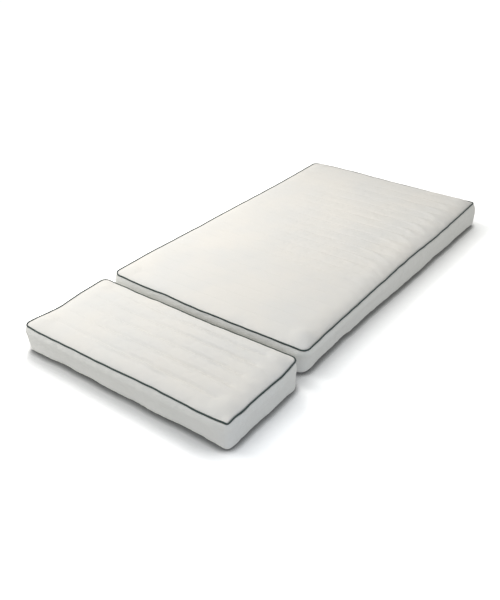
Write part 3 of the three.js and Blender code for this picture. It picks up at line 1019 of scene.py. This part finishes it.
def round_over(shape, edges, width, segments):
    """Rounds edges of a bmesh over."""
    bmesh.ops.bevel(
        shape, geom=edges, affect="EDGES", offset=width, segments=segments, profile=0.5, material=-1
    )


def coil(name):
    """The closed coil: a row of teeth that lock into each other, on a band that the tapes' edges hold."""
    low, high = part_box(f"{name}_zip_chain")
    middle = (low + high) / 2
    teeth = bmesh.new()
    count = int((high.y - low.y) / tooth_pitch)
    for index in range(count):
        aside = tooth_stagger if index % 2 else -tooth_stagger
        y = middle.y + (index - (count - 1) / 2) * tooth_pitch
        tooth = bmesh.new()
        add_block(tooth, Vector((low.x + tooth_size.x / 2, y, middle.z + aside)), tooth_size)
        round_over(tooth, tooth.edges[:], tooth_edge, 1)
        join(teeth, tooth)
    front = low.x + coil_back_depth
    band = bmesh.new()
    band_middle = Vector(((front + high.x) / 2, middle.y, middle.z))
    add_block(band, band_middle, Vector((high.x - front, high.y - low.y, high.z - low.z)))
    round_over(band, band.edges[:], tooth_edge, 2)
    join(teeth, band)
    return new_piece(f"{name}_zip_coil", teeth)


def softened_copy(node, label, edge_width):
    """A CAD node's shape with its edges rounded over, as tumbling leaves small metal parts."""
    part = bmesh.new()
    part.from_mesh(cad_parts[node].data)
    bmesh.ops.remove_doubles(part, verts=part.verts, dist=weld_distance)
    bmesh.ops.dissolve_limit(part, angle_limit=math.radians(1), verts=part.verts, edges=part.edges)
    sharp = [edge for edge in part.edges if edge.calc_face_angle(0.0) > metal_corner]
    round_over(part, sharp, edge_width, 2)
    made = new_piece(label, part)
    made.data.set_sharp_from_angle(angle=metal_shading)
    return made


def nylon_finish():
    """Off-white nylon with a fine grain."""
    finish, tree, shader = new_finish("coil_nylon")
    grain = add_node(tree, "ShaderNodeTexNoise", {"Vector": on_piece(tree), "Scale": 2500.0, "Detail": 2.0})
    set_inputs(tree, shader, {
        "Base Color": blotches(tree, ((0.76, 0.755, 0.72), (0.82, 0.815, 0.78)), 60.0),
        "Roughness": 0.38, "Normal": raised(tree, grain.outputs["Fac"], 0.03 * mm),
    })
    return finish


def nickel_finish():
    """Plated metal with fine lengthwise scratches and duller patches where fingers rub it."""
    finish, tree, shader = new_finish("brushed_nickel")
    where = on_piece(tree)
    lengthwise = add_node(tree, "ShaderNodeMapping", {"Vector": where, "Scale": (1.0, 0.12, 1.0)})
    scratches = add_node(
        tree, "ShaderNodeTexNoise", {"Vector": lengthwise.outputs[0], "Scale": 5200.0, "Detail": 3.0}
    )
    rubbed = add_node(tree, "ShaderNodeTexNoise", {"Vector": where, "Scale": 260.0, "Detail": 3.0})
    dulled = add_node(
        tree, "ShaderNodeMapRange", {"Value": rubbed.outputs["Fac"], "To Min": 0.24, "To Max": 0.48}
    )
    set_inputs(tree, shader, {
        "Base Color": blotches(tree, ((0.5, 0.49, 0.47), (0.66, 0.65, 0.63)), 300.0),
        "Metallic": 1.0, "Roughness": dulled.outputs[0],
        "Normal": raised(tree, scratches.outputs["Fac"], 0.03 * mm, 0.5),
    })
    return finish


tape_finish = cotton_finish(
    "zip_tape_weave", ((0.8, 0.795, 0.765), (0.84, 0.835, 0.8)), 0.6 * mm, 0.12 * mm, 0.03 * mm
)
coil_finish = nylon_finish()
metal_finish = nickel_finish()
# Each metal part: its CAD node, the body that it rides on, and how wide its corners are rounded.
metal_parts = (
    ("zip_closed_stop", "section", 0.35 * mm),
    ("zip_open_stop", "section", 0.35 * mm),
    ("zip_slider", "zip_slider", 0.28 * mm),
    ("zip_pull", "zip_pull", 0.22 * mm),
)
for name in sections:
    for node in ("zip_tape_upper", "zip_tape_lower"):
        tape = ribbed_tape(name, node)
        tape.data.materials.append(tape_finish)
        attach(tape, f"{name}_section")
        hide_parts(f"{name}_{node}")
    chain = coil(name)
    chain.data.materials.append(coil_finish)
    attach(chain, f"{name}_section")
    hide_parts(f"{name}_zip_chain")
    for node, body, edge_width in metal_parts:
        metal = softened_copy(f"{name}_{node}", f"{name}_{node}_plated", edge_width)
        metal.data.materials.append(metal_finish)
        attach(metal, f"{name}_{body}")
        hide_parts(f"{name}_{node}")
    surface = surface_of(borders[name])
    low, high = outer[name]
    middle_y = (low.y + high.y) / 2
    half = zip_half_length(name) + topstitch_gap
    bottom = zip_slot["low"] - topstitch_gap
    top_line = zip_slot["high"] + topstitch_gap
    corners = [(-half, bottom), (half, bottom), (half, top_line), (-half, top_line), (-half, bottom)]
    slot_stitches = bmesh.new()
    for start, end in zip(corners, corners[1:]):
        steps = round(math.dist(start, end) / stitch_pitch)
        starts = []
        for step in range(steps + 1):
            y = middle_y + start[0] + (end[0] - start[0]) * step / steps
            z = start[1] + (end[1] - start[1]) * step / steps
            starts.append(Vector((low.x - left_of_border, y, z)))
        sew(slot_stitches, surface, starts, Vector((1, 0, 0)))
    topstitching = new_piece(f"{name}_zip_topstitching", slot_stitches)
    topstitching.data.materials.append(thread)
    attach(topstitching, f"{name}_section")

# Fillings. A block of soft yellowish foam holds each section's shape, and a pad of white
# fibre wadding lies loose on it under the quilting. The base panel closes the cover below.


def soft_block(name, node, inset, corner_radius, edge_radius, segments):
    """A block in a CAD node's box, a little inside its sides, with round corners and soft edges."""
    low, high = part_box(node)
    size = high - low - Vector((2 * inset, 2 * inset, 0))
    block = bmesh.new()
    add_block(block, (low + high) / 2, size)
    upright = [edge for edge in block.edges if abs(edge.verts[0].co.z - edge.verts[1].co.z) > size.z / 2]
    round_over(block, upright, corner_radius, segments * 2)
    level = [edge for edge in block.edges if abs(edge.verts[0].co.z - edge.verts[1].co.z) < size.z / 2]
    round_over(block, level, edge_radius, segments)
    return new_piece(name, block)


def foam_finish():
    """Yellowish foam with open cells."""
    finish, tree, shader = new_finish("open_cell_foam")
    cells = add_node(tree, "ShaderNodeTexVoronoi", {"Vector": on_piece(tree), "Scale": 620.0})
    set_inputs(tree, shader, {
        "Base Color": blotches(tree, ((0.84, 0.75, 0.53), (0.88, 0.8, 0.6)), 12.0),
        "Roughness": 1.0, "Normal": raised(tree, cells.outputs["Distance"], 0.5 * mm),
    })
    return finish


def wadding_finish():
    """White wadding with tangled fibres."""
    finish, tree, shader = new_finish("fibre_wadding")
    fibres = add_node(
        tree, "ShaderNodeTexNoise",
        {"Vector": on_piece(tree), "Scale": 300.0, "Detail": 6.0, "Distortion": 2.5},
    )
    set_inputs(tree, shader, {
        "Base Color": blotches(tree, ((0.9, 0.9, 0.88), (0.94, 0.94, 0.93)), 25.0),
        "Roughness": 1.0, "Normal": raised(tree, fibres.outputs["Fac"], 0.8 * mm),
    })
    return finish


# Each filling: its CAD node, its name, its slot, its finish, how far it stays inside the node's
# sides, how round its corners and its edges are, in how many steps, and how full it is.
fillings = (
    ("foam_core", "foam_block", "foam", foam_finish(), 5 * mm, 26 * mm, 19 * mm, 4, 0.9),
    ("comfort_layer", "wadding_pad", "wadding", wadding_finish(), 0.0, 15 * mm, 5 * mm, 3, 0.5),
    (
        "base_panel", "underside_panel", "base_fabric",
        cotton_finish("base_cotton", ((0.82, 0.82, 0.8), (0.85, 0.85, 0.83)), 1.1 * mm, 0.2 * mm, 0.06 * mm),
        0.0, base_corner_radius, 1.2 * mm, 3, 0.3,
    ),
)
for name in sections:
    for node, label, slot, finish, inset, corner_radius, edge_radius, segments, fullness in fillings:
        filling = soft_block(f"{name}_{label}", f"{name}_{node}", inset, corner_radius, edge_radius, segments)
        filling.data.materials.append(finish)
        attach(filling, f"{name}_section")
        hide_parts(f"{name}_{node}")
